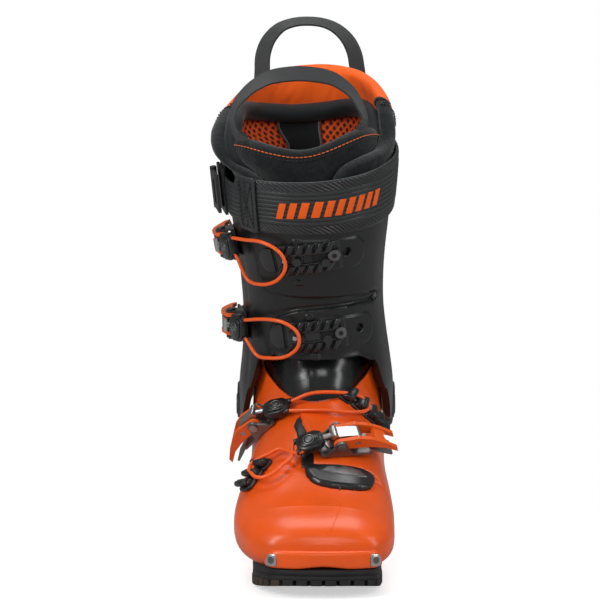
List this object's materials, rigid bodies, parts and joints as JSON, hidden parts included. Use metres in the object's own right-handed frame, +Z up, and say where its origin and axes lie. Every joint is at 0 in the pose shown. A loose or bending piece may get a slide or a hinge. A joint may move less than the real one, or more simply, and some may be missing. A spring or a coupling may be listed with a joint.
{
  "type": "alpine touring ski boot",
  "caption": "Right alpine touring ski boot: hinged cuff over an orange shell, cable buckles on racks, power strap, padded liner, walk lever and rockered rubber sole.",
  "frame": {"origin": "on the ground plane under the boot-centre mark, midway between toe tip and heel end", "axes": "+Z up, -Y towards the toe, +X towards the medial side (right boot); cuff in its forward-lean rest position"},
  "size_m": [0.1351, 0.3049, 0.3862],
  "materials": {
    "orange_shell": "satin",
    "black_plastic": "fine grain",
    "steel": "brushed",
    "orange_metal": "satin",
    "orange_cable": "coated cable",
    "sole_rubber": "moulded",
    "membrane": "glossy",
    "webbing": "woven",
    "liner_felt": "felted"
  },
  "bodies": {
    "shell": {"lower_shell": "orange_shell", "throat_gaiter": "membrane", "overlap_end_cap": "black_plastic", "toe_sole": "sole_rubber", "heel_sole": "sole_rubber", "toe_insert": "steel", "heel_insert": "steel", "sole_screws": "steel", "boot_board": "black_plastic", "insole": "liner_felt", "liner_foot": "liner_felt", "pivot_bolts": "steel", "pivot_nuts": "steel", "lock_pin": "steel", "instep_base": "steel", "toe_base": "steel", "shell_fasteners": "steel", "instep_rack": "black_plastic", "toe_rack": "black_plastic", "shell_pivot_pins": "steel"},
    "cuff": {"cuff_shell": "black_plastic", "cuff_spine": "black_plastic", "pivot_bushes": "black_plastic", "upper_ladder": "black_plastic", "lower_ladder": "black_plastic", "cuff_fasteners": "steel", "upper_base": "black_plastic", "lower_base": "black_plastic", "cuff_pivot_pins": "steel", "power_strap": "webbing", "strap_frame": "black_plastic", "liner_shaft": "liner_felt", "liner_tongue": "liner_felt", "rear_loop": "webbing", "tongue_loop": "webbing", "lock_housing": "black_plastic", "walk_pin": "steel"},
    "walk_lever": {"walk_lever": "orange_metal"},
    "lock_bar": {"lock_bar": "steel"},
    "strap_cam": {"strap_cam": "black_plastic"},
    "upper_lever": {"upper_lever": "orange_metal", "upper_bail_pin": "steel"},
    "upper_bail": {"upper_adjuster": "steel", "upper_cover": "black_plastic", "upper_cable": "orange_cable"},
    "lower_lever": {"lower_lever": "orange_metal", "lower_bail_pin": "steel"},
    "lower_bail": {"lower_adjuster": "steel", "lower_cover": "black_plastic", "lower_cable": "orange_cable"},
    "instep_lever": {"instep_lever": "orange_metal", "instep_bail_pin": "steel"},
    "instep_bail": {"instep_adjuster": "steel", "instep_cover": "black_plastic", "instep_cable": "orange_cable"},
    "toe_lever": {"toe_lever": "orange_metal", "toe_bail_pin": "steel"},
    "toe_bail": {"toe_adjuster": "steel", "toe_cover": "black_plastic", "toe_cable": "orange_cable"}
  },
  "joints": [
    {"name": "cuff_pivot", "type": "hinge", "parent": "shell", "child": "cuff", "pos_m": [0, 0.06, 0.1], "axis": [1, 0, 0], "range_deg": [-20, 8]},
    {"name": "upper_lever_hinge", "type": "hinge", "parent": "cuff", "child": "upper_lever", "pos_m": [-0.06956, 0.01125, 0.22316], "axis": [-0.1906, -0.1058, 0.9759], "range_deg": [0, 125]},
    {"name": "upper_bail_hinge", "type": "hinge", "parent": "upper_lever", "child": "upper_bail", "pos_m": [-0.07219, 0.02303, 0.22392], "axis": [-0.1906, -0.1058, 0.9759], "range_deg": [-155, 0]},
    {"name": "lower_lever_hinge", "type": "hinge", "parent": "cuff", "child": "lower_lever", "pos_m": [-0.06411, 0.02226, 0.16388], "axis": [-0.0295, -0.0606, 0.9977], "range_deg": [0, 125]},
    {"name": "lower_bail_hinge", "type": "hinge", "parent": "lower_lever", "child": "lower_bail", "pos_m": [-0.06744, 0.03387, 0.16449], "axis": [-0.0295, -0.0606, 0.9977], "range_deg": [-155, 0]},
    {"name": "instep_lever_hinge", "type": "hinge", "parent": "shell", "child": "instep_lever", "pos_m": [-0.04661, -0.02252, 0.10205], "axis": [0.1415, 0.7856, 0.6023], "range_deg": [0, 125]},
    {"name": "instep_bail_hinge", "type": "hinge", "parent": "instep_lever", "child": "instep_bail", "pos_m": [-0.05445, -0.01607, 0.09548], "axis": [0.1415, 0.7856, 0.6023], "range_deg": [-155, 0]},
    {"name": "toe_lever_hinge", "type": "hinge", "parent": "shell", "child": "toe_lever", "pos_m": [0.01087, -0.07359, 0.09639], "axis": [0.2122, -0.7564, -0.6187], "range_deg": [0, 125]},
    {"name": "toe_bail_hinge", "type": "hinge", "parent": "toe_lever", "child": "toe_bail", "pos_m": [0.02269, -0.07149, 0.09787], "axis": [0.2122, -0.7564, -0.6187], "range_deg": [-155, 0]},
    {"name": "walk_lever_hinge", "type": "hinge", "parent": "cuff", "child": "walk_lever", "pos_m": [-0.0035, 0.11609, 0.19443], "axis": [-1, 0, 0], "range_deg": [0, 118]},
    {"name": "lock_bar_hinge", "type": "hinge", "parent": "cuff", "child": "lock_bar", "pos_m": [-0.0035, 0.12721, 0.16416], "axis": [-1, 0, 0], "range_deg": [0, 6]},
    {"name": "strap_cam_hinge", "type": "hinge", "parent": "cuff", "child": "strap_cam", "pos_m": [-0.07507, -0.00136, 0.26339], "axis": [0.0948, 0.2577, -0.9616], "range_deg": [0, 95]}
  ],
  "couplings": [
    {"joint": "upper_bail_hinge", "follows": "upper_lever_hinge", "ratio": -1.22},
    {"joint": "lower_bail_hinge", "follows": "lower_lever_hinge", "ratio": -1.22},
    {"joint": "instep_bail_hinge", "follows": "instep_lever_hinge", "ratio": -1.22},
    {"joint": "toe_bail_hinge", "follows": "toe_lever_hinge", "ratio": -1.22},
    {"joint": "lock_bar_hinge", "follows": "walk_lever_hinge", "ratio": 0.035}
  ]
}
